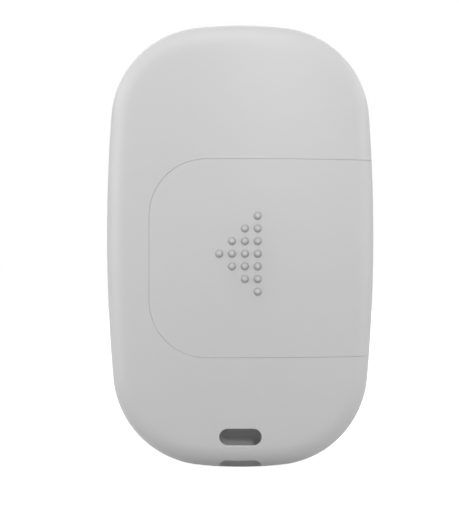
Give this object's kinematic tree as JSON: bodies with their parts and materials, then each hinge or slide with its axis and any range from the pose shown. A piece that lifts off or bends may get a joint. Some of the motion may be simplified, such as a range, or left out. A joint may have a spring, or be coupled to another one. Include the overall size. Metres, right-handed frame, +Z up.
{
  "type": "wireless remote control",
  "caption": "Pebble-shaped key fob remote with press keys, a sliding battery cover with raised grip dots, and a strap slot.",
  "frame": {"origin": "centre of the bounding box's lower face, under the strap end", "axes": "+Z up the length towards the far end from the strap slot, -Y out of the back with the battery cover, +Y out of the key side, +X towards the side where the cover slides off"},
  "size_m": [0.037, 0.0137, 0.061],
  "materials": {
    "housing_grey": "fine satin texture, light grey ABS",
    "cover_grey": "fine satin texture, light grey ABS",
    "key_white": "satin white ABS",
    "cell_steel": "nickel-plated steel",
    "seal_plastic": "moulded polypropylene",
    "contact_nickel": "nickel-plated phosphor bronze",
    "board_green": "solder mask over glass fibre",
    "chip_black": "moulded epoxy",
    "crystal_can": "metal lid on ceramic",
    "antenna_ceramic": "sintered ceramic",
    "capacitor_tan": "sintered ceramic with tinned ends",
    "resistor_black": "coated ceramic with tinned ends",
    "led_white": "clear resin over a white base",
    "pipe_clear": "clear acrylic",
    "screw_steel": "zinc-plated steel",
    "switch_black": "moulded nylon",
    "switch_steel": "stamped stainless steel",
    "plunger_white": "moulded nylon"
  },
  "bodies": {
    "housing": {"back_shell": "housing_grey", "front_shell": "housing_grey", "coin_cell_can": "cell_steel", "coin_cell_seal": "seal_plastic", "coin_cell_lid": "cell_steel", "positive_contact": "contact_nickel", "negative_contact": "contact_nickel", "circuit_board": "board_green", "radio_chip": "chip_black", "crystal": "crystal_can", "chip_antenna": "antenna_ceramic", "capacitors": "capacitor_tan", "resistors": "resistor_black", "status_led": "led_white", "light_pipe": "pipe_clear", "case_screws": "screw_steel", "lock_switch_body": "switch_black", "lock_switch_plate": "switch_steel", "unlock_switch_body": "switch_black", "unlock_switch_plate": "switch_steel", "home_switch_body": "switch_black", "home_switch_plate": "switch_steel", "alert_switch_body": "switch_black", "alert_switch_plate": "switch_steel"},
    "battery_cover": {"battery_cover": "cover_grey"},
    "lock_key": {"lock_key": "key_white", "lock_switch_plunger": "plunger_white"},
    "unlock_key": {"unlock_key": "key_white", "unlock_switch_plunger": "plunger_white"},
    "home_key": {"home_key": "key_white", "home_switch_plunger": "plunger_white"},
    "alert_key": {"alert_key": "key_white", "alert_switch_plunger": "plunger_white"}
  },
  "joints": [
    {"name": "battery_cover_slide", "type": "slide", "parent": "housing", "child": "battery_cover", "axis": [1, 0, 0], "range_m": [0, 0.032]},
    {"name": "lock_key_press", "type": "slide", "parent": "housing", "child": "lock_key", "axis": [0, -1, 0], "range_m": [0, 0.0003], "stiffness_N_per_m": 1500, "springref_m": -0.0006},
    {"name": "unlock_key_press", "type": "slide", "parent": "housing", "child": "unlock_key", "axis": [0, -1, 0], "range_m": [0, 0.0003], "stiffness_N_per_m": 1500, "springref_m": -0.0006},
    {"name": "home_key_press", "type": "slide", "parent": "housing", "child": "home_key", "axis": [0, -1, 0], "range_m": [0, 0.0003], "stiffness_N_per_m": 1500, "springref_m": -0.0006},
    {"name": "alert_key_press", "type": "slide", "parent": "housing", "child": "alert_key", "axis": [0, -1, 0], "range_m": [0, 0.0003], "stiffness_N_per_m": 1500, "springref_m": -0.0006}
  ]
}
